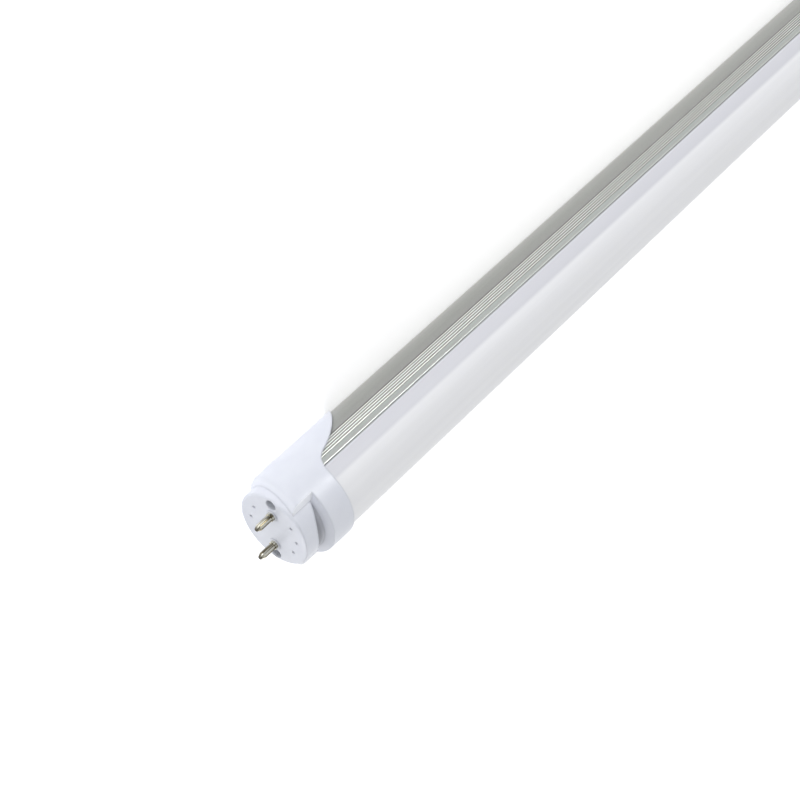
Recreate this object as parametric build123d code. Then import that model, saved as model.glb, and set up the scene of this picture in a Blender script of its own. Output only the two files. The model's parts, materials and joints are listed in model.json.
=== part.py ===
from build123d import *
from math import acos, cos, degrees, radians, sin, sqrt
import os

# Retrofit tube lamp of the two foot size. Millimetres, +Z up, +X to the front end.
# It lies as it comes to rest: the aluminium heat sink below, the diffuser on top.
# Each piece is drawn round the tube's axis and lifted to axis_height at the end.
# Angles round the tube count from the diffuser's crown, towards +Y.

# Tube
face_to_face = 589.8
tube_radius = 15.0
tube_wall = 1.1
fit_gap = 0.05
tube_radius_inside = tube_radius - tube_wall

# Heat sink
seam_angle = 73.2
seam_round = 0.3
web_top = 2.3
web_thickness = 1.2
rail_thickness = 0.7
lip_reach = 1.3
lip_thickness = 0.7
wall_overlap = 0.2
boss_radius = 2.2
boss_slot = 1.0
boss_arm = 1.0
rib_pitch_angle = 3.3
rib_count = 5
rib_strip_angle = 80.8
rib_strip_depth = 0.35
rib_radius = 0.28

# Diffuser
diffuser_edge_round = 0.9
diffuser_leg = 1.0
leg_start_angle = 66.0
leg_clearance = 0.15

# Light engine
led_board_thickness = 1.0
thermal_tape_thickness = 0.2
led_board_inset = 4.0
led_count = 48
led_length = 3.5
led_width = 2.8
led_height = 0.8
led_end_margin = 12.0

# End cap
barrel_radius = 13.25
face_round = 0.8
sleeve_radius = 15.75
sleeve_rise = 0.2
hood_front_depth = 2.4
hood_front_lean = 12.0
hood_front_radius = 15.2
hood_round = 3.0
hood_taper_end = 14.0
window_ledge_height = 7.9
shoulder_edge_depth = 9.6
relief_radius = 12.55
relief_root_depth = 8.4
relief_start_depth = 5.2
relief_half_width = 10.0
relief_end_depth = 8.3
collar_length = 18.5
sweep_start_height = 7.5
sweep_turn_depth = 23.5
sweep_turn_height = 0.8
tongue_length = 43.2
tube_stop_depth = 10.6
front_wall = 2.0
barrel_wall = 1.6
hood_core_start = 8.5
hood_core_radius = 13.6
hood_core_half_angle = 62.0
vent_radius = 0.5
vent_circle = 9.0
vent_step_angle = 36.0

# Contact pins and their seats
pin_spacing = 12.7
pin_radius = 1.175
pin_reach = 7.1
pin_tail_depth = 6.0
pin_tip_cone = 1.3
pin_tip_flat_radius = 0.6
pin_tip_hole_radius = 0.3
pin_tip_wall = 1.4
pin_shoulder_radius = 1.45
pin_shoulder_length = 0.9
pin_ring_radius = 2.0
pin_ring_height = 0.35
pin_seat_radius = 2.3
pin_seat_depth = 5.0

# Cap screws
screw_y = 10.8
screw_radius = 1.15
screw_length = 10.0
screw_point = 1.2
screw_head_radius = 1.65
screw_head_height = 1.4
screw_head_round = 0.4
screw_drive_width = 0.5
screw_drive_span = 2.0
screw_drive_depth = 0.8
screw_seat_depth = 6.0
screw_pocket_radius = 1.85
screw_hole_radius = 1.3
screw_post_radius = 3.0

# Driver
insulator_width = 16.0
insulator_wall = 0.3
insulator_web_gap = 0.3
insulator_start = 24.0
insulator_overhang = 3.0
driver_board_start = 26.0
driver_board_length = 142.0
driver_board_side_gap = 0.1
driver_board_thickness = 1.2
adhesive_thickness = 0.8
adhesive_length = 14.0
adhesive_inset = 22.0
adhesive_round = 2.0

# Components on the driver board: a middle or a place counts from the front face, a place to the near end
resistor_middle = 43.0
resistor_y = 3.6
resistor_radius = 1.5
resistor_waist_radius = 1.2
resistor_half_length = 4.0
resistor_bead = 1.6
resistor_leg_radius = 0.3
resistor_leg_reach = 2.0
mains_capacitor_place = 53.5
mains_capacitor_size = (10.5, 5.0, 8.6)
mains_capacitor_round = 0.6
choke_middle = 72.0
choke_radius = 4.2
choke_drum_radius = 2.9
choke_height = 8.4
choke_flange = 1.4
bridge_place = 82.0
bridge_size = (4.7, 4.0, 2.5)
bulk_capacitor_place = 92.0
bulk_capacitor_radius = 4.0
bulk_capacitor_length = 16.0
can_rim = 0.4
can_bead_place = 1.55
can_bead_depth = 0.5
transformer_middle = 120.5
core_length = 13.0
core_width = 12.0
core_height = 4.0
core_leg = 3.0
core_side = 1.5
core_back = 1.6
bobbin_wall = 0.4
bobbin_flange_height = 9.0
bobbin_rail_height = 2.6
bobbin_rail_width = 11.0
bobbin_clearance = 0.1
winding_thickness = 1.9
winding_round = 1.0
control_chip_place = 133.0
control_chip_size = (4.9, 3.9, 1.5)
output_diode_place = 142.0
output_diode_size = (4.3, 2.6, 2.2)
output_capacitor_place = 149.0
output_capacitor_radius = 3.15
output_capacitor_length = 11.0
package_chamfer = 0.3
package_foot = 0.5

# Leads
lead_radius = 0.6
lead_bend = 3.0
output_lead_bend = 1.4
lead_insertion = 3.0
input_lead_run = 5.0
input_pad_y = 4.6
link_run = 3.4
lead_hole_radius = 2.0
lead_hole_offset = 9.0
lead_hole_y = 5.0
output_lead_y = 0.8
solder_length = 5.0

half_length = face_to_face / 2
axis_height = sleeve_radius - sleeve_rise
pin_y = pin_spacing / 2
tube_end = half_length - tube_stop_depth
web_bottom = web_top - web_thickness
led_board_bottom = web_top + thermal_tape_thickness
led_board_top = led_board_bottom + led_board_thickness
lip_bottom = led_board_top + fit_gap
lip_top = lip_bottom + lip_thickness
rib_strip_end = rib_strip_angle + rib_count * rib_pitch_angle
leg_radius = tube_radius_inside - leg_clearance
rail_outer_y = sqrt((leg_radius - diffuser_leg) ** 2 - lip_top**2) - leg_clearance
rail_inner_y = rail_outer_y - rail_thickness
led_board_half_width = rail_inner_y - fit_gap
insulator_bottom = -sqrt(tube_radius_inside**2 - (insulator_width / 2) ** 2)
insulator_top = web_bottom - insulator_web_gap
driver_board_bottom = insulator_bottom + insulator_wall + adhesive_thickness
driver_board_top = driver_board_bottom + driver_board_thickness
driver_board_width = insulator_width - 2 * insulator_wall - 2 * driver_board_side_gap
driver_board_end = driver_board_start + driver_board_length
insulator_end = driver_board_end + insulator_overhang
lead_hole_x = half_length - driver_board_end - lead_hole_offset
lead_z = driver_board_top + lead_radius
core_window_length = core_length - 2 * core_back
bobbin_rail_length = core_back + bobbin_wall
core_window_width = (core_width - core_leg) / 2 - core_side
core_middle_z = driver_board_top + bobbin_rail_height + core_height / 2


def around(radius, angle):
    return radius * sin(radians(angle)), radius * cos(radians(angle))


# Flat ring segment of the cross-section, between two radii and two angles.
def band(inner, outer, start, end):
    outer_arc = CenterArc((0, 0), outer, 90 - end, end - start)
    inner_arc = CenterArc((0, 0), inner, 90 - end, end - start)
    sides = [Line(outer_arc @ 0, inner_arc @ 0), Line(outer_arc @ 1, inner_arc @ 1)]
    return make_face(Curve() + [outer_arc, inner_arc] + sides)


# Rectangle of the cross-section given by its low and high corners.
def block(low_y, high_y, low_z, high_z):
    middle = Pos((low_y + high_y) / 2, (low_z + high_z) / 2)
    return middle * Rectangle(high_y - low_y, high_z - low_z)


def along_tube(section, start, end):
    return extrude(Plane.YZ.offset(start) * section, amount=end - start)


# Hole in a flat layer above the driver, through which the output leads come up.
def lead_hole(layer_top, layer_thickness):
    return Pos(lead_hole_x, lead_hole_y, layer_top) * Cylinder(lead_hole_radius, 4 * layer_thickness)


# Solid round a line parallel to the tube, from (x, radius) points.
def turned(points, y=0.0, z=0.0):
    outline = make_face(Polyline(*points, close=True))
    return Pos(0, y, z) * revolve(Plane.XZ * outline, Axis.X)


def rod(radius, start, end, y=0.0, z=0.0):
    return Pos((start + end) / 2, y, z) * Rot(0, 90, 0) * Cylinder(radius, abs(end - start))


# Solid box with its low corner and size given along X, Y and Z.
def brick(x, y, z, length, width, height):
    return Pos(x + length / 2, y, z + height / 2) * Box(length, width, height)


def both_sides(section):
    return section + mirror(section, Plane.YZ)


# Rounds the outer corners of a section, where it meets the other half of the tube.
def round_seam(section, radius):
    corner = Vector(*around(tube_radius, seam_angle))
    places = (corner, Vector(-corner.X, corner.Y))
    corners = [min(section.vertices(), key=lambda v: (Vector(v.X, v.Y) - place).length) for place in places]
    return fillet(corners, radius)


# The screw's channel is open along its inner side; its boss hangs from the web and reaches the wall.
def screw_boss():
    return Pos(screw_y, 0) * Circle(boss_radius) + block(
        screw_y, tube_radius_inside + wall_overlap, -boss_arm / 2, boss_arm / 2
    )


def screw_channel():
    slot = block(screw_y - 2 * boss_radius, screw_y, -boss_slot / 2, boss_slot / 2)
    return Pos(screw_y, 0) * Circle(screw_radius) + slot


# Round ribs side by side in a shallow strip of the skin, flush with the tube.
def rib_strip(section):
    strip = band(tube_radius - rib_strip_depth, tube_radius + 1, rib_strip_angle, rib_strip_end)
    section -= both_sides(strip)
    for index in range(rib_count):
        y, z = around(tube_radius - rib_radius, rib_strip_angle + rib_pitch_angle * (index + 0.5))
        section += both_sides(Pos(y, z) * Circle(rib_radius))
    return section


def heat_sink():
    inside_y = sqrt(tube_radius_inside**2 - web_bottom**2) + wall_overlap
    shell = band(tube_radius_inside, tube_radius, seam_angle, 360 - seam_angle)
    section = rib_strip(round_seam(shell, seam_round))
    web = block(-inside_y, inside_y, web_bottom, web_top)
    section += web & Circle(tube_radius_inside + wall_overlap)
    rail = block(rail_inner_y, rail_outer_y, web_bottom, lip_top)
    rail += block(rail_inner_y - lip_reach, rail_outer_y, lip_bottom, lip_top)
    section += both_sides(rail)
    section += both_sides(screw_boss())
    section -= both_sides(screw_channel())
    sink = along_tube(section, -tube_end, tube_end)
    return sink - lead_hole(web_top, web_thickness)


# The legs hang inside the heat sink's edges, in the channels beside the rails.
def diffuser():
    leg_foot = web_top + leg_clearance
    leg_end_angle = degrees(acos(leg_foot / (leg_radius - diffuser_leg)))
    section = band(tube_radius_inside, tube_radius, -seam_angle, seam_angle)
    leg = band(leg_radius - diffuser_leg, leg_radius, leg_start_angle, leg_end_angle)
    leg += band(leg_radius - diffuser_leg, tube_radius_inside + leg_clearance, leg_start_angle, seam_angle)
    leg -= block(0, tube_radius, 0, leg_foot)
    section = round_seam(section, diffuser_edge_round)
    return along_tube(section + both_sides(leg), -tube_end, tube_end)


def led_board():
    end = tube_end - led_board_inset
    section = block(-led_board_half_width, led_board_half_width, led_board_bottom, led_board_top)
    board = along_tube(section, -end, end)
    return board - lead_hole(led_board_top, led_board_thickness)


def thermal_tape():
    end = tube_end - led_board_inset
    section = block(-led_board_half_width, led_board_half_width, web_top, led_board_bottom)
    tape = along_tube(section, -end, end)
    return tape - lead_hole(web_top, thermal_tape_thickness)


def led_chips():
    run = 2 * (tube_end - led_board_inset - led_end_margin)
    pitch = run / (led_count - 1)
    chip = Box(led_length, led_width, led_height)
    lift = led_board_top + led_height / 2
    return [Pos(-run / 2 + pitch * index, 0, lift) * chip for index in range(led_count)]


# Depth of the collar's sloping front shoulder at a radius.
def shoulder_depth(radius):
    slope = (shoulder_edge_depth - relief_root_depth) / (sleeve_radius - relief_radius)
    return relief_root_depth + slope * (radius - relief_radius)


# What the window takes away down to one radius: ahead of the shoulder, above its two level ledges.
def window_cut(radius):
    beyond = tube_radius + 3
    outline = Polyline(
        (1, radius),
        (-shoulder_depth(radius), radius),
        (-shoulder_depth(beyond), beyond),
        (1, beyond),
        close=True,
    )
    ring = revolve(Plane.XZ * make_face(outline), Axis.X)
    return ring & Pos(0, 0, window_ledge_height + beyond) * Box(2 * beyond, 2 * beyond, 2 * beyond)


# Crescent recess in the barrel, in front of the shoulder.
def relief_cut():
    rise = relief_end_depth - relief_start_depth
    arc_radius = (relief_half_width**2 + rise**2) / (2 * rise)
    lens = Pos(-relief_start_depth - arc_radius, 0, barrel_radius) * Cylinder(arc_radius, barrel_radius)
    return window_cut(relief_radius) & lens


# Side outline behind which the sleeve is cut away, from the collar to the tongue's end.
def sweep_cut():
    above = 2 * sleeve_radius
    behind = -2 * tongue_length
    collar_edge = Line((-collar_length, above), (-collar_length, sweep_start_height))
    turn = (-sweep_turn_depth, sweep_turn_height)
    tip = (-tongue_length, -sleeve_radius - 0.5)
    hollow_arc = TangentArc(collar_edge @ 1, turn, tangent=(0, -1))
    crown_arc = TangentArc(hollow_arc @ 1, tip, tangent=hollow_arc % 1)
    rest = Polyline(crown_arc @ 1, (behind, -sleeve_radius - 0.5), (behind, above), collar_edge @ 0)
    outline = make_face(Curve() + [collar_edge, hollow_arc, crown_arc, rest])
    return extrude(Plane.XZ * outline, amount=above, both=True)


# The hood's flat front leans back towards its lower side and rounds into the outer surface.
def sleeve():
    back = -tongue_length - 1
    outline = [
        (hood_front_depth, 0),
        (hood_front_depth, hood_front_radius),
        (-hood_taper_end, sleeve_radius),
        (back, sleeve_radius),
        (back, 0),
    ]
    beyond = 4 * sleeve_radius
    ahead = Pos(-hood_front_depth, 0, 0) * Rot(0, hood_front_lean, 0) * Pos(beyond / 2, 0, 0)
    body = turned(outline, z=sleeve_rise) - ahead * Box(beyond, beyond, beyond)
    front_face = body.faces().sort_by(Axis.X)[-1]
    return fillet(front_face.edges(), hood_round) - sweep_cut()


def barrel():
    body = rod(barrel_radius, -tube_stop_depth, 0)
    body = fillet(body.edges().filter_by(GeomType.CIRCLE).sort_by(Axis.X)[-1], face_round)
    for side in (-1, 1):
        body += rod(pin_ring_radius, -front_wall, pin_ring_height, side * pin_y)
    return body


def vent_places():
    for middle in (0, 180):
        for step in (-1, 0, 1):
            yield around(vent_circle, middle + step * vent_step_angle)


def end_cap():
    cap = sleeve() - window_cut(barrel_radius) + barrel() - relief_cut()
    cap -= rod(tube_radius + fit_gap, -tube_stop_depth, -tongue_length - 2)
    hollow = rod(barrel_radius - barrel_wall, -front_wall, -tube_stop_depth)
    hood_core = band(0.5, hood_core_radius, hood_core_half_angle, 360 - hood_core_half_angle)
    hollow += along_tube(hood_core, -tube_stop_depth, -hood_core_start)
    for side in (-1, 1):
        hollow -= rod(screw_post_radius, -front_wall, -tube_stop_depth, side * screw_y)
        hollow -= rod(pin_seat_radius, -front_wall, -pin_seat_depth, side * pin_y)
    cap -= hollow
    for side in (-1, 1):
        cap -= rod(screw_pocket_radius, 1, -screw_seat_depth, side * screw_y)
        cap -= rod(screw_hole_radius, 0, -tube_stop_depth - 1, side * screw_y)
        cap -= rod(pin_radius, 1, -tube_stop_depth, side * pin_y)
    for y, z in vent_places():
        cap -= rod(vent_radius, 1, -front_wall - 1, y, z)
    return cap


# Hollow drawn pin: a shoulder on the cap's ring, a coned tip with a small hole.
def contact_pin(side):
    outline = [
        (-pin_tail_depth, lead_radius),
        (-pin_tail_depth, pin_radius),
        (pin_ring_height, pin_radius),
        (pin_ring_height, pin_shoulder_radius),
        (pin_ring_height + pin_shoulder_length, pin_shoulder_radius),
        (pin_ring_height + pin_shoulder_length, pin_radius),
        (pin_reach - pin_tip_cone, pin_radius),
        (pin_reach, pin_tip_flat_radius),
        (pin_reach, pin_tip_hole_radius),
        (pin_reach - pin_tip_wall, pin_tip_hole_radius),
        (pin_reach - pin_tip_wall, lead_radius),
    ]
    return turned(outline, side * pin_y)


def cap_screw(side):
    seat = -screw_seat_depth
    outline = [
        (seat + screw_head_height, 0),
        (seat + screw_head_height, screw_head_radius - screw_head_round),
        (seat + screw_head_height - screw_head_round, screw_head_radius),
        (seat, screw_head_radius),
        (seat, screw_radius),
        (seat - screw_length + screw_point, screw_radius),
        (seat - screw_length, 0),
    ]
    screw = turned(outline, side * screw_y)
    for width, height in ((screw_drive_span, screw_drive_width), (screw_drive_width, screw_drive_span)):
        slot = Box(2 * screw_drive_depth, width, height)
        screw -= Pos(seat + screw_head_height, side * screw_y, 0) * slot
    return screw


def driver_insulator():
    wall = insulator_wall
    side = insulator_width / 2
    outer = block(-side, side, insulator_bottom, insulator_top)
    inner = block(wall - side, side - wall, insulator_bottom + wall, insulator_top - wall)
    return along_tube(outer - inner, -insulator_end, -insulator_start)


def driver_board():
    half_width = driver_board_width / 2
    section = block(-half_width, half_width, driver_board_bottom, driver_board_top)
    return along_tube(section, -driver_board_end, -driver_board_start)


def driver_adhesive():
    floor = insulator_bottom + insulator_wall
    places = (driver_board_start + adhesive_inset, driver_board_end - adhesive_inset)
    pad = Box(adhesive_length, driver_board_width / 2, adhesive_thickness)
    pad = fillet(pad.edges().filter_by(Axis.Z), adhesive_round)
    return [Pos(-place, 0, floor + adhesive_thickness / 2) * pad for place in places]


# Capacitor can on its side, with the rolled groove that holds its seal near one end.
def lying_can(place, radius, length):
    bead_start = place + can_bead_place - can_bead_depth
    bead_end = place + can_bead_place + can_bead_depth
    outline = [
        (-place - length, 0),
        (-place - length, radius - can_rim),
        (-place - length + can_rim, radius),
        (-bead_end - can_rim, radius),
        (-bead_end, radius - can_bead_depth),
        (-bead_start, radius - can_bead_depth),
        (-bead_start + can_rim, radius),
        (-place - can_rim, radius),
        (-place, radius - can_rim),
        (-place, 0),
    ]
    return turned(outline, z=driver_board_top + radius)


def chip_package(place, size):
    length, width, height = size
    body = brick(-place - length, 0, driver_board_top, length, width, height)
    body = chamfer(body.edges().group_by(Axis.Z)[-1], package_chamfer)
    for side in (-1, 1):
        for fraction in (0.25, 0.75):
            x = -place - length * fraction - package_foot / 2
            y = side * (width + package_foot) / 2
            body += brick(x, y, driver_board_top, package_foot, 2 * package_foot, height / 3)
    return body


# Wound resistor under lacquer, thicker over its end caps, on two bent legs.
def fusible_resistor():
    bead_start = resistor_half_length - resistor_bead
    half = [
        (resistor_half_length, 0),
        (resistor_half_length, resistor_radius),
        (bead_start + can_rim, resistor_radius),
        (bead_start, resistor_waist_radius),
    ]
    lift = driver_board_top + resistor_radius
    body = turned(half + [(-x, r) for x, r in reversed(half)], resistor_y, lift)
    reach = resistor_half_length + resistor_leg_reach
    for side in (-1, 1):
        body += rod(resistor_leg_radius, side * resistor_half_length, side * reach, resistor_y, lift)
        leg = Cylinder(resistor_leg_radius, resistor_radius)
        body += Pos(side * reach, resistor_y, driver_board_top + resistor_radius / 2) * leg
    return Pos(-resistor_middle, 0, 0) * body


def mains_capacitor():
    length, width, height = mains_capacitor_size
    body = brick(-mains_capacitor_place - length, 0, driver_board_top, length, width, height)
    return fillet(body.edges().filter_by(Axis.Z), mains_capacitor_round)


# Drum core on its end; its winding sits between the flanges under the same black sleeve.
def noise_choke():
    waist = Cylinder(choke_drum_radius, choke_height)
    for side in (-1, 1):
        waist += Pos(0, 0, side * (choke_height - choke_flange) / 2) * Cylinder(choke_radius, choke_flange)
    return Pos(-choke_middle, 0, driver_board_top + choke_height / 2) * waist


# The transformer's pieces are drawn round the middle of its core.
def in_transformer(shape):
    return Pos(-transformer_middle, 0, core_middle_z) * shape


def transformer_core():
    body = Box(core_length, core_width, core_height)
    for side in (-1, 1):
        window_y = side * (core_leg + core_window_width) / 2
        body -= Pos(0, window_y, 0) * Box(core_window_length, core_window_width, 2 * core_height)
    return in_transformer(body)


def transformer_bobbin():
    flange_width = core_leg + 2 * (core_window_width - bobbin_clearance)
    flange = Box(bobbin_wall, flange_width, bobbin_flange_height)
    rail = Box(bobbin_rail_length, bobbin_rail_width, bobbin_rail_height)
    body = Box(core_window_length, core_leg + 2 * bobbin_wall, core_height + 2 * bobbin_wall)
    for side in (-1, 1):
        body += Pos(side * (core_window_length - bobbin_wall) / 2, 0, 0) * flange
        rail_z = -(core_height + bobbin_rail_height) / 2
        body += Pos(side * (core_length - bobbin_rail_length) / 2, 0, rail_z) * rail
    return in_transformer(body - Box(core_length, core_leg, core_height))


def transformer_winding():
    inside_width = core_leg + 2 * bobbin_wall
    inside_height = core_height + 2 * bobbin_wall
    length = core_window_length - 2 * bobbin_wall
    coil = Box(length, inside_width + 2 * winding_thickness, inside_height + 2 * winding_thickness)
    coil = fillet(coil.edges().filter_by(Axis.X), winding_round)
    return in_transformer(coil - Box(length, inside_width, inside_height))


# Insulated wire along runs joined by arcs.
def lead(points, bend=lead_bend):
    path = FilletPolyline(*points, radius=bend)
    start = Plane(path @ 0, z_dir=path % 0)
    return sweep(start * Circle(lead_radius), path=path)


def input_lead(side):
    pad_y = side * input_pad_y
    return lead([
        (-pin_tail_depth + lead_insertion, side * pin_y, 0),
        (-pin_tail_depth - input_lead_run, side * pin_y, 0),
        (-insulator_start + input_lead_run, pad_y, lead_z),
        (-driver_board_start - solder_length, pad_y, lead_z),
    ])


def pin_link():
    start_depth = -pin_tail_depth + lead_insertion
    turn_depth = -pin_tail_depth - link_run
    return lead([
        (start_depth, pin_y, 0),
        (turn_depth, pin_y, 0),
        (turn_depth, -pin_y, 0),
        (start_depth, -pin_y, 0),
    ])


def output_lead(side):
    y = lead_hole_y + side * output_lead_y
    hole = -driver_board_end - lead_hole_offset
    top = led_board_top + lead_radius
    return lead([
        (-driver_board_end + solder_length, y, lead_z),
        (hole, y, lead_z),
        (hole, y, top),
        (hole - solder_length - lead_bend, y, top),
    ], bend=output_lead_bend)


front = Pos(half_length, 0, axis_height)
rear = Pos(-half_length, 0, axis_height) * Rot(0, 0, 180)
centre = Pos(0, 0, axis_height)

nodes = {
    "heat_sink": centre * heat_sink(),
    "diffuser": centre * diffuser(),
    "led_board": centre * led_board(),
    "thermal_tape": centre * thermal_tape(),
    "led_chips": [centre * chip for chip in led_chips()],
    "driver_insulator": front * driver_insulator(),
    "driver_board": front * driver_board(),
    "driver_adhesive": [front * pad for pad in driver_adhesive()],
    "fusible_resistor": front * fusible_resistor(),
    "mains_capacitor": front * mains_capacitor(),
    "noise_choke": front * noise_choke(),
    "bridge_rectifier": front * chip_package(bridge_place, bridge_size),
    "bulk_capacitor": front * lying_can(
        bulk_capacitor_place, bulk_capacitor_radius, bulk_capacitor_length
    ),
    "transformer_core": front * transformer_core(),
    "transformer_bobbin": front * transformer_bobbin(),
    "transformer_winding": front * transformer_winding(),
    "control_chip": front * chip_package(control_chip_place, control_chip_size),
    "output_diode": front * chip_package(output_diode_place, output_diode_size),
    "output_capacitor": front * lying_can(
        output_capacitor_place, output_capacitor_radius, output_capacitor_length
    ),
    "live_lead": front * input_lead(1),
    "neutral_lead": front * input_lead(-1),
    "rear_pin_link": rear * pin_link(),
    "positive_lead": front * output_lead(1),
    "negative_lead": front * output_lead(-1),
}

cap = end_cap()
for end_name, place in (("front", front), ("rear", rear)):
    nodes[end_name + "_cap"] = place * cap
    nodes[end_name + "_left_pin"] = place * contact_pin(1)
    nodes[end_name + "_right_pin"] = place * contact_pin(-1)
    nodes[end_name + "_cap_screws"] = [place * cap_screw(side) for side in (-1, 1)]

os.makedirs("parts", exist_ok=True)
for name, shape in nodes.items():
    if isinstance(shape, list):
        shape = Compound(children=shape)
    export_step(shape, f"parts/{name}.step")
    print(name, round(shape.volume, 1))
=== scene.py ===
import json
import math
import bpy
from mathutils import Matrix, Vector


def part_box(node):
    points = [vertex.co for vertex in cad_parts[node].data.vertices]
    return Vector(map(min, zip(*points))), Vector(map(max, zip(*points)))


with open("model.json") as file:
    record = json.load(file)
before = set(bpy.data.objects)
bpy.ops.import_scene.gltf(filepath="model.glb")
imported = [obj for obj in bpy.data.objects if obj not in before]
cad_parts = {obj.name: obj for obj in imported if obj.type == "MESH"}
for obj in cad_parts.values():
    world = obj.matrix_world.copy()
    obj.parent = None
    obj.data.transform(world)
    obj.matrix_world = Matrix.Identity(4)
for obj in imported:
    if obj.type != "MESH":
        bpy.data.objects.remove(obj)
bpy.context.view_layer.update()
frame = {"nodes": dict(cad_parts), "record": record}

scene = bpy.context.scene
nodes = frame["nodes"]
print("frame:", len(nodes), "nodes")

# the tube's own sizes that patterns are placed by
tube = {
    "axisHeight": 0.01555,      # m
    "lipHeight": 0.0247,        # m: the metal lip behind the frosted cover ends here
    "ribStart": 80.8,           # degrees from the crown
    "ribPitch": 3.3,            # degrees
    "ribCount": 5,
    "barrelRadius": 0.01325,    # m: the round end of the cap
    "faceAt": 0.2949,           # m: the end faces, before and behind the middle
}
noiseRange = (0.3, 0.7)         # nearly all of a noise's values lie between these


# sRGB hex to linear
def hexToLinear(hexText):
    channels = [int(hexText[i:i + 2], 16) / 255 for i in (0, 2, 4)]
    linear = [c / 12.92 if c <= 0.04045 else ((c + 0.055) / 1.055) ** 2.4 for c in channels]
    return (*linear, 1.0)


# adds a shader node and gives its outputs: sockets, by name or in their order, take a value,
# a hex colour or another node's output, and settings are the node's own options.
# A MapRange's sockets in order are the value, the range it comes from and the range it goes to
def addNode(tree, kind, sockets=(), **settings):
    node = tree.nodes.new("ShaderNode" + kind)
    for name, value in settings.items():
        setattr(node, name, value)
    for name, value in sockets.items() if isinstance(sockets, dict) else enumerate(sockets):
        if isinstance(value, bpy.types.NodeSocket):
            tree.links.new(value, node.inputs[name])
        else:
            node.inputs[name].default_value = hexToLinear(value) if isinstance(value, str) else value
    return node.outputs


def newMaterial(name):
    material = bpy.data.materials.new(name)
    material.use_nodes = True
    material.node_tree.nodes.clear()
    return material, material.node_tree


def finishMaterial(tree, sockets):
    shader = addNode(tree, "BsdfPrincipled", sockets)["BSDF"]
    addNode(tree, "OutputMaterial", {"Surface": shader})


def objectAxes(tree):
    return addNode(tree, "SeparateXYZ", {"Vector": addNode(tree, "TexCoord")["Object"]})


# object coordinates in grains: along each axis one unit is one grain, given in mm
def grainSpace(tree, grainMm):
    place = addNode(tree, "TexCoord")["Object"]
    return addNode(tree, "Mapping", {"Vector": place, "Scale": [1000 / mm for mm in grainMm]})["Vector"]


# noise with grains of the given size
def speckle(tree, grainMm, detail=2.0, roughness=0.5, distortion=0.0):
    return addNode(tree, "TexNoise", {
        "Vector": grainSpace(tree, grainMm), "Scale": 1.0,
        "Detail": detail, "Roughness": roughness, "Distortion": distortion,
    })["Fac"]


# paints colours over a first one, each where its mask is 1
# (a Mix has its two colours at sockets 6 and 7, and gives its own at output 2)
def paintLayers(tree, color, layers):
    for mask, over in layers:
        color = addNode(tree, "Mix", {0: mask, 6: color, 7: over}, data_type="RGBA")[2]
    return color


# lays reliefs over one another: each has its height and its depth in mm
def layReliefs(tree, reliefs, normal=None):
    for height, depthMm in reliefs:
        sockets = {"Strength": 1.0, "Distance": depthMm / 1000, "Height": height}
        if normal is not None:
            sockets["Normal"] = normal
        normal = addNode(tree, "Bump", sockets)["Normal"]
    return normal


# 1 only where every mask is
def allOf(tree, *masks):
    result = masks[0]
    for mask in masks[1:]:
        result = addNode(tree, "Math", [result, mask], operation="MULTIPLY")[0]
    return result


# how far a value is from a mark, either way
def awayFrom(tree, value, mark):
    past = addNode(tree, "Math", [value, mark], operation="SUBTRACT")[0]
    return addNode(tree, "Math", [past], operation="ABSOLUTE")[0]


# the distance over two offsets at a right angle
def diagonal(tree, first, second):
    arm = addNode(tree, "CombineXYZ", [first, second])[0]
    return addNode(tree, "VectorMath", [arm], operation="LENGTH")["Value"]


# Extruded aluminium, satin etched and anodised clear: a pale grey sheen drawn out in fine lines along the
# tube. Painted highlights run along the crests of its ribs and its edge at the seam, which are also smoother,
# and painted sheen lightens the strip above the ribs and the side low down
aluminiumLook = {
    "light": "B7B8B4",
    "dark": "A1A29E",
    "lower": (104.0, 138.0),         # degrees: painted reflection makes the side lighter down here
    "lowerShare": 0.8,               # how far it goes from dark to light there
    "cloud": (90.0, 6.0, 6.0),       # mm: slow changes of the etch along the bar
    "cloudShare": 0.2,               # how far they go from dark to light
    "upperSheen": "B2B6B3",               # painted sheen on the strip above the ribs
    "pit": "8D8E8A",
    "pitShare": 0.35,                # how much the etch pits darken the sheen
    "etch": (0.35, 0.35, 0.35),      # mm: the pits are 0.03 mm wide, drawn coarser so that they show
    "etchDepth": 0.004,              # mm
    "groove": "A3A5A2",
    # painted highlight on the ribs' crests and the seam's edge
    "crestHighlight": "F6F7F3",
    "crestShare": 0.33,              # how much of a rib's pitch carries the painted highlight
    "crestFade": (0.3, 0.7),         # shares of that width, between which the burnish fades out
    "crestRoughness": 0.20,
    "seamEdge": (74.0, 74.7),        # degrees: the painted highlight line ends softly between these
    "seamHighlight": 0.8,                # painted highlight, fainter than on the ribs
    "dieLine": (60.0, 0.9, 0.9),     # mm: real die lines are 0.1 mm apart, drawn coarser so that they show
    "lineDepth": 0.012,              # mm
    "roughness": (0.36, 0.46),
    "sockets": {"Metallic": 1.0, "Anisotropic": 0.35},
}


# degrees round the tube from the crown, on either side
def tubeAngle(tree):
    axes = objectAxes(tree)
    above = addNode(tree, "Math", [axes["Z"], tube["axisHeight"]], operation="SUBTRACT")[0]
    across = addNode(tree, "Math", [axes["Y"]], operation="ABSOLUTE")[0]
    turn = addNode(tree, "Math", [across, above], operation="ARCTAN2")[0]
    return addNode(tree, "Math", [turn], operation="DEGREES")[0]


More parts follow.
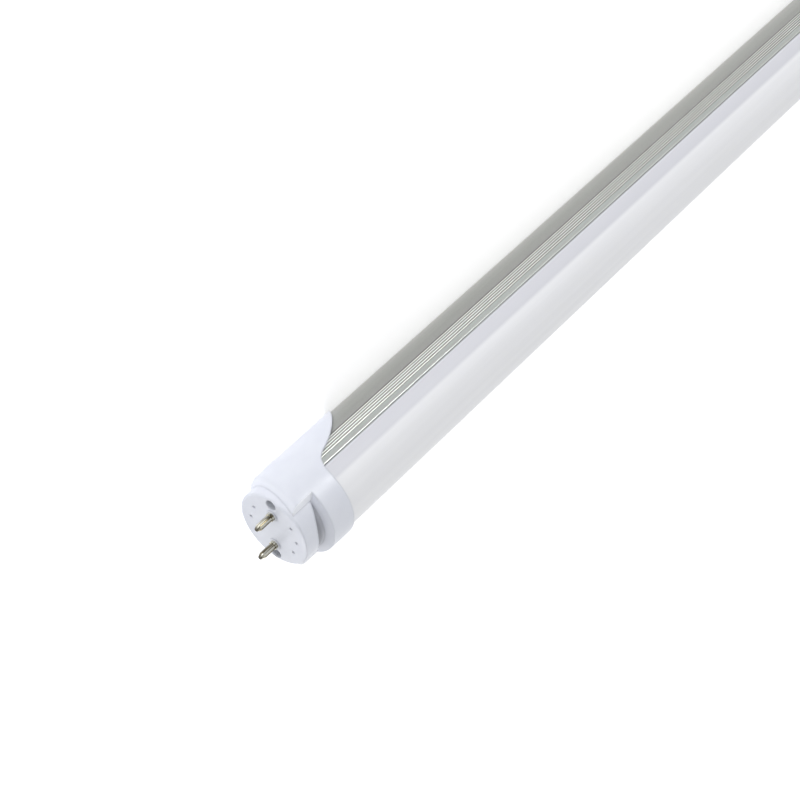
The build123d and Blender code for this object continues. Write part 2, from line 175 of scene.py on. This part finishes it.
# the first mask is 1 on the ribs' crests, the second from the first rib to the last
def ribMasks(tree, angle, look):
    past = addNode(tree, "Math", [angle, tube["ribStart"]], operation="SUBTRACT")[0]
    count = addNode(tree, "Math", [past, tube["ribPitch"]], operation="DIVIDE")[0]
    afterFirst = addNode(tree, "Math", [count, 0.0], operation="GREATER_THAN")[0]
    beforeLast = addNode(tree, "Math", [count, tube["ribCount"]], operation="LESS_THAN")[0]
    strip = allOf(tree, afterFirst, beforeLast)
    acrossRib = addNode(tree, "Math", [count], operation="FRACT")[0]
    offCrest = awayFrom(tree, acrossRib, 0.5)    # a crest is in the middle of its pitch
    fade = [share * look["crestShare"] for share in look["crestFade"]]
    crestHighlight = addNode(tree, "MapRange", [offCrest, *fade, 1.0, 0.0])[0]
    return allOf(tree, crestHighlight, strip), strip


def makeAluminium(look):
    material, tree = newMaterial("satinAnodisedAluminium")
    lines = speckle(tree, look["dieLine"], detail=3.0, roughness=0.6)
    cloud = speckle(tree, look["cloud"], detail=1.0)
    etch = speckle(tree, look["etch"], detail=1.0)
    angle = tubeAngle(tree)
    ribs, strip = ribMasks(tree, angle, look)
    seamPaintedLight = addNode(tree, "MapRange", [angle, *look["seamEdge"], look["seamHighlight"], 0.0])[0]
    highlightLines = addNode(tree, "Math", [ribs, seamPaintedLight], operation="MAXIMUM")[0]
    paintedLowerReflection = addNode(tree, "MapRange", [angle, *look["lower"], 0.0, look["lowerShare"]])[0]
    drift = addNode(tree, "MapRange", [cloud, *noiseRange, 0.0, look["cloudShare"]])[0]
    color = paintLayers(tree, look["dark"], [
        (addNode(tree, "Math", [paintedLowerReflection, drift], operation="ADD")[0], look["light"]),
        (addNode(tree, "Math", [angle, tube["ribStart"]], operation="LESS_THAN")[0], look["upperSheen"]),
        (addNode(tree, "MapRange", [etch, *noiseRange, look["pitShare"], 0.0])[0], look["pit"]),
        (strip, look["groove"]),
        (highlightLines, look["crestHighlight"]),
    ])
    satin = addNode(tree, "MapRange", [lines, *noiseRange, *look["roughness"]])[0]
    finishMaterial(tree, {
        **look["sockets"],
        "Base Color": color,
        "Roughness": addNode(tree, "MapRange", [highlightLines, 0.0, 1.0, satin, look["crestRoughness"]])[0],
        "Normal": layReliefs(tree, [(etch, look["etchDepth"]), (lines, look["lineDepth"])]),
    })
    return material


# Polycarbonate, extruded with a light diffusing filler and a matt skin: milky. Painted shade greys its edges,
# where the metal lip lies behind them, and its seam at the metal groove
diffuserLook = {
    "crown": "E9EAED",
    "haze": "DEDFE2",
    "hazeShare": 0.35,               # how much the flow's haze shows
    "flow": (120.0, 2.5, 2.5),       # mm: extrusion flow, slow along the tube and a few mm across
    # painted shade where the metal lip lies behind the cover's edges
    "edge": "CECFD5",
    "fade": 0.0006,                  # m: how softly the lip's edge shows through the wall
    "seamPaintedLight": "B6B8BC",                # painted shade along the cover's edge at the metal groove
    "seamShadeFrom": (70.5, 74.0),        # degrees from the crown
    "grit": (0.5, 0.5, 0.5),         # mm: the matt skin's grain is 0.05 mm, drawn coarser so that it shows
    "gritDepth": 0.006,              # mm
    "roughness": (0.36, 0.46),
    "sockets": {"IOR": 1.585, "Specular IOR Level": 0.4, "Subsurface Weight": 0.25,
                "Subsurface Scale": 0.0012, "Subsurface Radius": (1.0, 1.0, 1.1)},
}


def makeDiffuser(look):
    material, tree = newMaterial("frostedPolycarbonate")
    flow = speckle(tree, look["flow"])
    grit = speckle(tree, look["grit"], detail=1.0)
    haze = addNode(tree, "MapRange", [flow, *noiseRange, 0.0, look["hazeShare"]])[0]
    crown = paintLayers(tree, look["crown"], [(haze, look["haze"])])
    lip, fade = tube["lipHeight"], look["fade"]
    height = objectAxes(tree)["Z"]
    aboveLip = addNode(
        tree, "MapRange", [height, lip - fade, lip + fade, 0.0, 1.0], interpolation_type="SMOOTHSTEP",
    )[0]
    seamShadeMask = addNode(tree, "MapRange", [tubeAngle(tree), *look["seamShadeFrom"], 0.0, 1.0])[0]
    finishMaterial(tree, {
        **look["sockets"],
        "Base Color": paintLayers(tree, look["edge"], [(aboveLip, crown), (seamShadeMask, look["seamPaintedLight"])]),
        "Roughness": addNode(tree, "MapRange", [flow, *noiseRange, *look["roughness"]])[0],
        "Normal": layReliefs(tree, [(grit, look["gritDepth"])]),
    })
    return material


# Polycarbonate, injection moulded in a finely eroded steel mould: bright white with a soft gloss.
# Its places are given in m: heights over the axis, distances across it and from it, and depths
# behind the nearer end face
capLook = {
    "white": "DADDE5",
    "shade": "D6D9E2",
    "flow": (9.0, 7.0, 7.0),         # mm: faint melt flow away from the gate
    "flowBend": 0.6,
    "erosion": (0.45, 0.45, 0.45),   # mm: the mould's grain is 0.03 mm, drawn coarser so that it shows
    "erosionDepth": 0.006,           # mm
    "corner": 0.9,                   # mm: mould corners are eased by this much
    "cornerSamples": 6,
    "roughness": (0.30, 0.40),
    # painted shade in the crescent recess before the shoulder
    "crescentShade": {
        "color": "8F9198",
        "sunk": (0.0005, 0.0001),    # it ends softly between these distances inside the barrel's surface
        "lowest": 0.0070,            # height
        "begins": (0.0045, 0.0050),  # depths
        "shoulder": (0.0070, 0.0088),  # depths: it grows lighter between these
        "roots": (0.0080, 0.0110),   # across: its narrow ends are lighter from here
        "left": 0.3,                 # how much is left of it at the shoulder and at the roots
    },
    # painted light on the window's two level ledges: their height give or take the slack, how far they stand
    # outside the barrel's surface at least, and the depth where they end
    "ledgeLight": {"color": "F5F8FF", "height": 0.0079, "slack": 0.0002, "proud": 0.0001, "depth": 0.0095},
    # painted light on the hood's front, which fades towards its side
    "front": {
        "color": "F5F8FF",
        "share": 0.35,               # how far it goes towards its colour
        "proud": (0.00001, 0.0001),  # it begins between these distances outside the barrel's surface
        "side": (0.0142, 0.0152),    # from the axis: it fades out between these
        "highest": 0.0078,           # height
        "depth": 0.0098,             # it ends here
    },
    # painted shade on the walls of the screws' pockets: where a pocket's middle is across the axis, the
    # pocket's radius, and the depths between which the shade begins
    "pocketShade": {"color": "CFD2D8", "across": 0.0108, "radius": 0.0019, "begins": (0.0001, 0.0005)},
    "sockets": {"IOR": 1.585, "Subsurface Weight": 0.15, "Subsurface Scale": 0.0009,
                "Subsurface Radius": (1.0, 1.0, 1.05)},
}


# where a point of the cap lies, in m
def capPlaces(tree):
    axes = objectAxes(tree)
    above = addNode(tree, "Math", [axes["Z"], tube["axisHeight"]], operation="SUBTRACT")[0]
    along = addNode(tree, "Math", [axes["X"]], operation="ABSOLUTE")[0]
    return {
        "above": above,
        "across": addNode(tree, "Math", [axes["Y"]], operation="ABSOLUTE")[0],
        "radius": diagonal(tree, above, axes["Y"]),
        "depth": addNode(tree, "Math", [tube["faceAt"], along], operation="SUBTRACT")[0],
    }


# each of these masks is 1 where a point of the cap belongs to the place it is named for
def crescentShadeMask(tree, at, crescentShade):
    deep, shallow = [tube["barrelRadius"] - depth for depth in crescentShade["sunk"]]
    left = crescentShade["left"]
    return allOf(
        tree,
        addNode(tree, "MapRange", [at["radius"], deep, shallow, 1.0, 0.0])[0],
        addNode(tree, "Math", [at["above"], crescentShade["lowest"]], operation="GREATER_THAN")[0],
        addNode(tree, "MapRange", [at["depth"], *crescentShade["begins"], 0.0, 1.0])[0],
        addNode(tree, "MapRange", [at["depth"], *crescentShade["shoulder"], 1.0, left])[0],
        addNode(tree, "MapRange", [at["across"], *crescentShade["roots"], 1.0, left])[0],
    )


def ledgeLightMask(tree, at, ledgeLight):
    outside = tube["barrelRadius"] + ledgeLight["proud"]
    off = awayFrom(tree, at["above"], ledgeLight["height"])
    return allOf(
        tree,
        addNode(tree, "Math", [off, ledgeLight["slack"]], operation="LESS_THAN")[0],
        addNode(tree, "Math", [at["radius"], outside], operation="GREATER_THAN")[0],
        addNode(tree, "Math", [at["depth"], ledgeLight["depth"]], operation="LESS_THAN")[0],
    )


def frontMask(tree, at, front):
    root = [tube["barrelRadius"] + height for height in front["proud"]]
    return allOf(
        tree,
        addNode(tree, "MapRange", [at["radius"], *root, 0.0, 1.0])[0],
        addNode(tree, "MapRange", [at["radius"], *front["side"], front["share"], 0.0])[0],
        addNode(tree, "Math", [at["above"], front["highest"]], operation="LESS_THAN")[0],
        addNode(tree, "Math", [at["depth"], front["depth"]], operation="LESS_THAN")[0],
    )


def pocketShadeMask(tree, at, pocketShade):
    side = addNode(tree, "Math", [at["across"], pocketShade["across"]], operation="SUBTRACT")[0]
    away = diagonal(tree, at["above"], side)
    return allOf(
        tree,
        addNode(tree, "Math", [away, pocketShade["radius"]], operation="LESS_THAN")[0],
        addNode(tree, "MapRange", [at["depth"], *pocketShade["begins"], 0.0, 1.0])[0],
    )


def makeCapPlastic(look):
    material, tree = newMaterial("whiteMouldedPolycarbonate")
    grain = speckle(tree, look["erosion"])
    flow = speckle(tree, look["flow"], distortion=look["flowBend"])
    layers = [(addNode(tree, "MapRange", [flow, *noiseRange, 0.0, 1.0])[0], look["shade"])]
    at = capPlaces(tree)
    masks = {"crescentShade": crescentShadeMask, "ledgeLight": ledgeLightMask, "front": frontMask, "pocketShade": pocketShadeMask}
    for name, makeMask in masks.items():
        layers.append((makeMask(tree, at, look[name]), look[name]["color"]))
    eased = addNode(tree, "Bevel", {"Radius": look["corner"] / 1000}, samples=look["cornerSamples"])["Normal"]
    finishMaterial(tree, {
        **look["sockets"],
        "Base Color": paintLayers(tree, look["white"], layers),
        "Roughness": addNode(tree, "MapRange", [flow, *noiseRange, *look["roughness"]])[0],
        "Normal": layReliefs(tree, [(grain, look["erosionDepth"])], normal=eased),
    })
    return material


# Brass pin, drawn and nickel plated: warm silver with fine turned rings, painted dark reflection streaks
# along it and painted dark reflection at its tips
pinLook = {
    "plate": "E0DECF",
    "darkened": "6E654F",                # painted reflection: dark olive streaks along the pin
    "darkenedFrom": (0.4, 0.62),         # the streaks' values between which that shows
    "drawn": (9.0, 0.55, 0.55),      # mm: streaks of the drawing die along the pin
    "tipReflection": "3F3A2E",                # painted dark reflection at the tips
    "tipReflectionShare": 0.8,
    "tipReflectionFrom": (0.3008, 0.3019),    # m from the middle of the tube
    "ring": (0.35, 60.0, 60.0),      # mm: turning marks are 0.05 mm apart, drawn coarser so that they show
    "ringDepth": 0.006,              # mm
    "roughness": (0.08, 0.20),
    "sockets": {"Metallic": 1.0},
}


def makePinMetal(look):
    material, tree = newMaterial("nickelPlatedBrass")
    rings = speckle(tree, look["ring"], detail=1.0)
    drawn = speckle(tree, look["drawn"], detail=1.0)
    out = addNode(tree, "Math", [objectAxes(tree)["X"]], operation="ABSOLUTE")[0]
    finishMaterial(tree, {
        **look["sockets"],
        "Base Color": paintLayers(tree, look["plate"], [
            (addNode(tree, "MapRange", [drawn, *look["darkenedFrom"], 0.0, 1.0])[0], look["darkened"]),
            (addNode(tree, "MapRange", [out, *look["tipReflectionFrom"], 0.0, look["tipReflectionShare"]])[0], look["tipReflection"]),
        ]),
        "Roughness": addNode(tree, "MapRange", [drawn, *noiseRange, *look["roughness"]])[0],
        "Normal": layReliefs(tree, [(rings, look["ringDepth"])]),
    })
    return material


# Steel screw, cold headed and zinc plated: bluish grey with a fine crystal spangle
screwLook = {
    "light": "A2A6AB",
    "dark": "7C8086",
    "spangle": (0.5, 0.5, 0.5),      # mm: the zinc's crystals
    "spangleDepth": 0.01,            # mm
    "roughness": (0.25, 0.45),
    "sockets": {"Metallic": 1.0},
}


def makeScrewSteel(look):
    material, tree = newMaterial("zincPlatedSteel")
    cells = addNode(tree, "TexVoronoi", {"Vector": grainSpace(tree, look["spangle"]), "Scale": 1.0})
    tone = addNode(tree, "SeparateColor", {"Color": cells["Color"]})["Red"]
    finishMaterial(tree, {
        **look["sockets"],
        "Base Color": paintLayers(tree, look["light"], [(tone, look["dark"])]),
        "Roughness": addNode(tree, "MapRange", [tone, 0.0, 1.0, *look["roughness"]])[0],
        "Normal": layReliefs(tree, [(cells["Distance"], look["spangleDepth"])]),
    })
    return material


# Aluminium circuit board with printed white solder mask: chalky white, the copper pours faint under it
ledBoardLook = {
    "mask": "EDEDE8",
    "line": "DEDED6",                # between two pours, and where the print is thin
    "pourHalf": 0.0034,              # m: half the width of a copper pour
    "lineEdge": (0.00025, 0.000357),  # m: a line ends softly between these distances from its middle
    "lineDepth": 0.035,              # mm: the copper's thickness
    "ink": (0.6, 0.6, 0.6),          # mm: the screen mesh it is printed through is 0.1 mm, drawn coarser
    "inkDepth": 0.008,               # mm
    "thinShare": 0.15,
    "roughness": (0.42, 0.52),
    "sockets": {"IOR": 1.5},
}


def makeLedBoard(look):
    material, tree = newMaterial("whiteSolderMask")
    across = objectAxes(tree)["Y"]
    fromLine = addNode(tree, "Math", [across, look["pourHalf"]], operation="PINGPONG")[0]
    line = addNode(tree, "MapRange", [fromLine, *look["lineEdge"], 1.0, 0.0])[0]
    ink = speckle(tree, look["ink"])
    darkened = addNode(tree, "MapRange", [ink, *noiseRange, 0.0, look["thinShare"]])[0]
    finishMaterial(tree, {
        **look["sockets"],
        "Base Color": paintLayers(tree, look["mask"], [(line, look["line"]), (darkened, look["line"])]),
        "Roughness": addNode(tree, "MapRange", [ink, *noiseRange, *look["roughness"]])[0],
        "Normal": layReliefs(tree, [(ink, look["inkDepth"]), (line, -look["lineDepth"])]),
    })
    return material


# Glass epoxy laminate with green solder mask: glossy green, lighter over the copper pours,
# the woven glass a fine check
boardLook = {
    "mask": "277A45",
    "weave": "226E3E",
    "bundle": (0.9, 0.9, 0.9),       # mm: the glass bundles are 0.4 mm apart, drawn coarser so that they show
    "bare": "134A28",
    "pour": (6.0, 6.0, 6.0),         # mm
    "gap": (0.035, 0.06),            # half the bare line between two pours, as shares of a pour
    "gapDepth": 0.035,               # mm: the copper's thickness
    "sockets": {"IOR": 1.52, "Roughness": 0.26, "Coat Weight": 0.3, "Coat Roughness": 0.15},
}


def makeDriverBoard(look):
    material, tree = newMaterial("greenSolderMask")
    weave = addNode(tree, "TexChecker", {"Vector": grainSpace(tree, look["bundle"]), "Scale": 1.0})["Fac"]
    pours = {"Vector": grainSpace(tree, look["pour"]), "Scale": 1.0}
    fromEdge = addNode(tree, "TexVoronoi", pours, feature="DISTANCE_TO_EDGE")["Distance"]
    gap = addNode(tree, "MapRange", [fromEdge, *look["gap"], 1.0, 0.0])[0]
    finishMaterial(tree, {
        **look["sockets"],
        "Base Color": paintLayers(tree, look["mask"], [(weave, look["weave"]), (gap, look["bare"])]),
        "Normal": layReliefs(tree, [(gap, -look["gapDepth"])]),
    })
    return material


# Heat shrunk sleeve on an electrolytic capacitor: black gloss with the plain grey stripe
# that marks the negative side
sleeveLook = {
    "sleeve": "15171D",
    "stripe": "8F949C",
    "stripeEdge": (0.0013, 0.001444),  # m: the stripe ends softly between these distances from its middle
    "ripple": (5.0, 1.2, 1.2),       # mm
    "rippleDepth": 0.04,             # mm
    "sockets": {"IOR": 1.54, "Roughness": 0.3, "Coat Weight": 0.5, "Coat Roughness": 0.1},
}


def makeCapacitorSleeve(look, middle):
    material, tree = newMaterial("heatShrunkSleeve")
    away = awayFrom(tree, objectAxes(tree)["Y"], middle)
    stripe = addNode(tree, "MapRange", [away, *look["stripeEdge"], 1.0, 0.0])[0]
    finishMaterial(tree, {
        **look["sockets"],
        "Base Color": paintLayers(tree, look["sleeve"], [(stripe, look["stripe"])]),
        "Normal": layReliefs(tree, [(speckle(tree, look["ripple"]), look["rippleDepth"])]),
    })
    return material


# Polyester tape wound over the coil: glossy amber with the turns' edges showing as steps
windingLook = {
    "tape": "DDB52C",
    "edge": "B98F18",
    "turn": (1.1, 1.1, 1.1),         # mm
    "wave": {"Scale": 0.3, "Distortion": 1.2, "Detail": 2.0},  # at this scale a wave is one turn long
    "step": (0.1, 0.5),              # the wave's values between which a turn's edge shows
    "stepDepth": 0.05,               # mm
    "sockets": {"IOR": 1.6, "Roughness": 0.25, "Coat Weight": 0.6, "Coat Roughness": 0.08},
}


def makeWindingTape(look):
    material, tree = newMaterial("woundPolyesterTape")
    wave = {"Vector": grainSpace(tree, look["turn"]), **look["wave"]}
    turns = addNode(tree, "TexWave", wave, bands_direction="X")["Fac"]
    edge = addNode(tree, "MapRange", [turns, *look["step"], 1.0, 0.0])[0]
    finishMaterial(tree, {
        **look["sockets"],
        "Base Color": paintLayers(tree, look["tape"], [(edge, look["edge"])]),
        "Normal": layReliefs(tree, [(turns, look["stepDepth"])]),
    })
    return material


# Plain fine-grained materials of the parts inside: the name, two colours, the grain and its depth in mm,
# the shader's values, and how rough the grain is where that isn't 0.6
innerLooks = {
    # Yellow phosphor potted in silicone: a grainy yellow with a wet gloss over it
    "led_phosphor": ("phosphorUnderSilicone", "F0D45A", "E0B93A", (0.25, 0.25, 0.25), 0.02,
                     {"IOR": 1.41, "Roughness": 0.35, "Coat Weight": 0.6, "Coat Roughness": 0.08,
                      "Coat IOR": 1.41, "Subsurface Weight": 0.3, "Subsurface Scale": 0.0004}, 0.7),
    # Silicone pad filled with alumina on glass mesh: dull, slightly tacky, a 1 mm mesh under the skin
    "thermal_tape": ("filledSiliconePad", "D9DAD2", "C8CAC0", (1.0, 1.0, 1.0), 0.03,
                     {"IOR": 1.45, "Roughness": 0.75}),
    # Polyester film, rolled into a sleeve: milky, with long faint folds
    "insulator_film": ("rolledPolyesterFilm", "DCE1E6", "CDD4DB", (40.0, 3.0, 3.0), 0.05,
                       {"IOR": 1.64, "Roughness": 0.28, "Coat Weight": 0.4, "Coat Roughness": 0.12}),
    # Silicone adhesive, squeezed on and cured: soft white with a slow orange peel
    "silicone": ("curedSiliconeAdhesive", "EDEDE7", "DFDFD6", (1.8, 1.8, 1.8), 0.10,
                 {"IOR": 1.41, "Roughness": 0.42, "Subsurface Weight": 0.3, "Subsurface Scale": 0.001}),
    # Black epoxy, transfer moulded round a chip: matt charcoal with a sanded grain
    "black_epoxy": ("mouldedEpoxy", "26272A", "1B1C1E", (0.3, 0.3, 0.3), 0.012,
                    {"IOR": 1.55, "Roughness": 0.55}),
    # Flameproof lacquer, dipped over a wound ceramic core: pale green, thick and slightly lumpy
    "resistor_ceramic": ("dippedFlameproofLacquer", "6F9C86", "5F8C77", (0.9, 0.9, 0.9), 0.05,
                         {"IOR": 1.5, "Roughness": 0.5}),
    # Polypropylene box, moulded and potted with resin: warm yellow, smooth walls
    "capacitor_case": ("mouldedPolypropylene", "D6BE4A", "C9B03F", (2.2, 2.2, 2.2), 0.02,
                       {"IOR": 1.49, "Roughness": 0.38}),
    # Ferrite, pressed, fired and ground: dark slate grey with a dry mineral grain
    "ferrite": ("groundFerrite", "3A3B3D", "2B2C2E", (0.4, 0.4, 0.4), 0.03,
                {"IOR": 2.2, "Roughness": 0.5}),
    # Phenolic, compression moulded: nearly black, slight gloss with flow marks
    "bobbin": ("mouldedPhenolic", "22201E", "191817", (1.5, 0.6, 0.6), 0.02,
               {"IOR": 1.6, "Roughness": 0.4}),
    # PVC, extruded over stranded wire: satin, with the strands' lay just showing
    "lead_red": ("redPvcInsulation", "B5231F", "A51D1A", (2.5, 0.35, 0.35), 0.02,
                 {"IOR": 1.53, "Roughness": 0.42}),
    "lead_black": ("blackPvcInsulation", "1F1F20", "161617", (2.5, 0.35, 0.35), 0.02,
                   {"IOR": 1.53, "Roughness": 0.42}),
    "lead_white": ("whitePvcInsulation", "E3E3DF", "D7D7D2", (2.5, 0.35, 0.35), 0.02,
                   {"IOR": 1.53, "Roughness": 0.42}),
}


def makeInner(name, light, dark, grainMm, depthMm, sockets, roughness=0.6):
    material, tree = newMaterial(name)
    grain = speckle(tree, grainMm, detail=3.0, roughness=roughness)
    tone = addNode(tree, "MapRange", [grain, *noiseRange, 0.0, 1.0])[0]
    finishMaterial(tree, {
        **sockets,
        "Base Color": paintLayers(tree, light, [(tone, dark)]),
        "Normal": layReliefs(tree, [(grain, depthMm)]),
    })
    return material


capacitorMiddle = sum(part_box("bulk_capacitor"), Vector()).y / 2
materials = {
    "aluminium": makeAluminium(aluminiumLook),
    "diffuser": makeDiffuser(diffuserLook),
    "cap_plastic": makeCapPlastic(capLook),
    "pin_metal": makePinMetal(pinLook),
    "screw_steel": makeScrewSteel(screwLook),
    "board_white": makeLedBoard(ledBoardLook),
    "board_green": makeDriverBoard(boardLook),
    "capacitor_sleeve": makeCapacitorSleeve(sleeveLook, capacitorMiddle),
    "winding_tape": makeWindingTape(windingLook),
}
for slotName, look in innerLooks.items():
    materials[slotName] = makeInner(*look)
print("materials:", len(materials))

slotOfNode = {part["node"]: part["material_slot"] for part in frame["record"]["subparts"]}
for nodeName, piece in nodes.items():
    piece.data.materials.clear()
    piece.data.materials.append(materials[slotOfNode[nodeName]])
print("finishes on", len(nodes), "nodes")

# White acrylic shooting table, lit a little from below, so that the floor stays pale round the tube
floorLook = {
    "white": "F7F7F8",
    "shade": "F2F2F4",
    "mottle": (160.0, 160.0, 160.0),  # mm
    "half": 30.0,                    # m: its edge shows only in views from lower than 12 degrees
    "sockets": {"Roughness": 0.7, "Specular IOR Level": 0.2,
                "Emission Color": (1.0, 1.0, 1.0, 1.0), "Emission Strength": 0.45},
}


def makeFloor(look):
    material, tree = newMaterial("whiteAcrylicTable")
    cloud = speckle(tree, look["mottle"], detail=1.0)
    tone = addNode(tree, "MapRange", [cloud, *noiseRange, 0.0, 1.0])[0]
    color = paintLayers(tree, look["white"], [(tone, look["shade"])])
    finishMaterial(tree, {**look["sockets"], "Base Color": color})
    half = look["half"]
    corners = [(-half, -half, 0), (half, -half, 0), (half, half, 0), (-half, half, 0)]
    mesh = bpy.data.meshes.new("floor")
    mesh.from_pydata(corners, [], [(0, 1, 2, 3)])
    floor = bpy.data.objects.new("floor", mesh)
    scene.collection.objects.link(floor)
    floor.data.materials.append(material)
    return floor


makeFloor(floorLook)
print("floor: laid")

# light: a white tent, a little brighter low down. On the photographed side a key light stands low near
# the end, and a soft box higher and further along draws the bright lines on ribs and pins. A white card
# behind the tube lights its far side from above
lightSetup = {
    "tent": {"color": "FFFFFF", "zenith": 0.62, "horizon": 0.70},
    "aim": (0.27, 0.0, 0.016),       # m
    "distance": 1.1,                 # m, from there to each light
    "areas": {
        "keyLight": {"direction": (0.50, -0.86, 0.05), "size": 0.4, "power": 1.4, "color": "F8FAFF"},
        "softBox": {"direction": (-0.45, -0.76, 0.48), "size": 0.35, "power": 2.6, "color": "FFFFFF"},
        "backCard": {"direction": (-0.1, 0.88, 0.46), "size": 0.6, "power": 3.0, "color": "FFFFFF"},
    },
}


def makeLights(setup):
    tent = setup["tent"]
    world = bpy.data.worlds.new("studio")
    world.use_nodes = True
    tree = world.node_tree
    tree.nodes.clear()
    height = addNode(tree, "SeparateXYZ", {"Vector": addNode(tree, "TexCoord")["Generated"]})["Z"]
    strength = addNode(tree, "MapRange", [height, 0.0, 1.0, tent["horizon"], tent["zenith"]])[0]
    background = addNode(tree, "Background", {"Color": tent["color"], "Strength": strength})[0]
    addNode(tree, "OutputWorld", {"Surface": background})
    scene.world = world
    aim = Vector(setup["aim"])
    for name, values in setup["areas"].items():
        light = bpy.data.lights.new(name, "AREA")
        light.shape = "DISK"
        light.size = values["size"]
        light.energy = values["power"]
        light.color = hexToLinear(values["color"])[:3]
        lamp = bpy.data.objects.new(name, light)
        direction = Vector(values["direction"]).normalized()
        lamp.location = aim + direction * setup["distance"]
        lamp.rotation_euler = (-direction).to_track_quat("-Z", "Y").to_euler()
        scene.collection.objects.link(lamp)


makeLights(lightSetup)
print("lights:", len(lightSetup["areas"]))

# camera: on the tube's side and above it, rolled as the photograph is held
cameraSetup = {
    "place": (0.55192, -0.42534, 0.28652),
    "aim": (0.24939, -0.02606, 0.02859),
    "roll": 118.48,       # degrees
    "lens": 84.96,        # mm
    "sensor": 36.0,       # mm
    "clipStart": 0.01,    # m
}


def makeCamera(setup):
    data = bpy.data.cameras.new("camera")
    data.lens = setup["lens"]
    data.sensor_width = setup["sensor"]
    data.clip_start = setup["clipStart"]
    camera = bpy.data.objects.new("camera", data)
    place, aim = Vector(setup["place"]), Vector(setup["aim"])
    turn = (aim - place).to_track_quat("-Z", "Y").to_matrix().to_4x4()
    roll = Matrix.Rotation(math.radians(setup["roll"]), 4, "Z")
    camera.matrix_world = Matrix.Translation(place) @ turn @ roll
    scene.collection.objects.link(camera)
    scene.camera = camera


makeCamera(cameraSetup)
scene.view_settings.view_transform = "Standard"
scene.view_settings.look = "None"
print("camera: set")
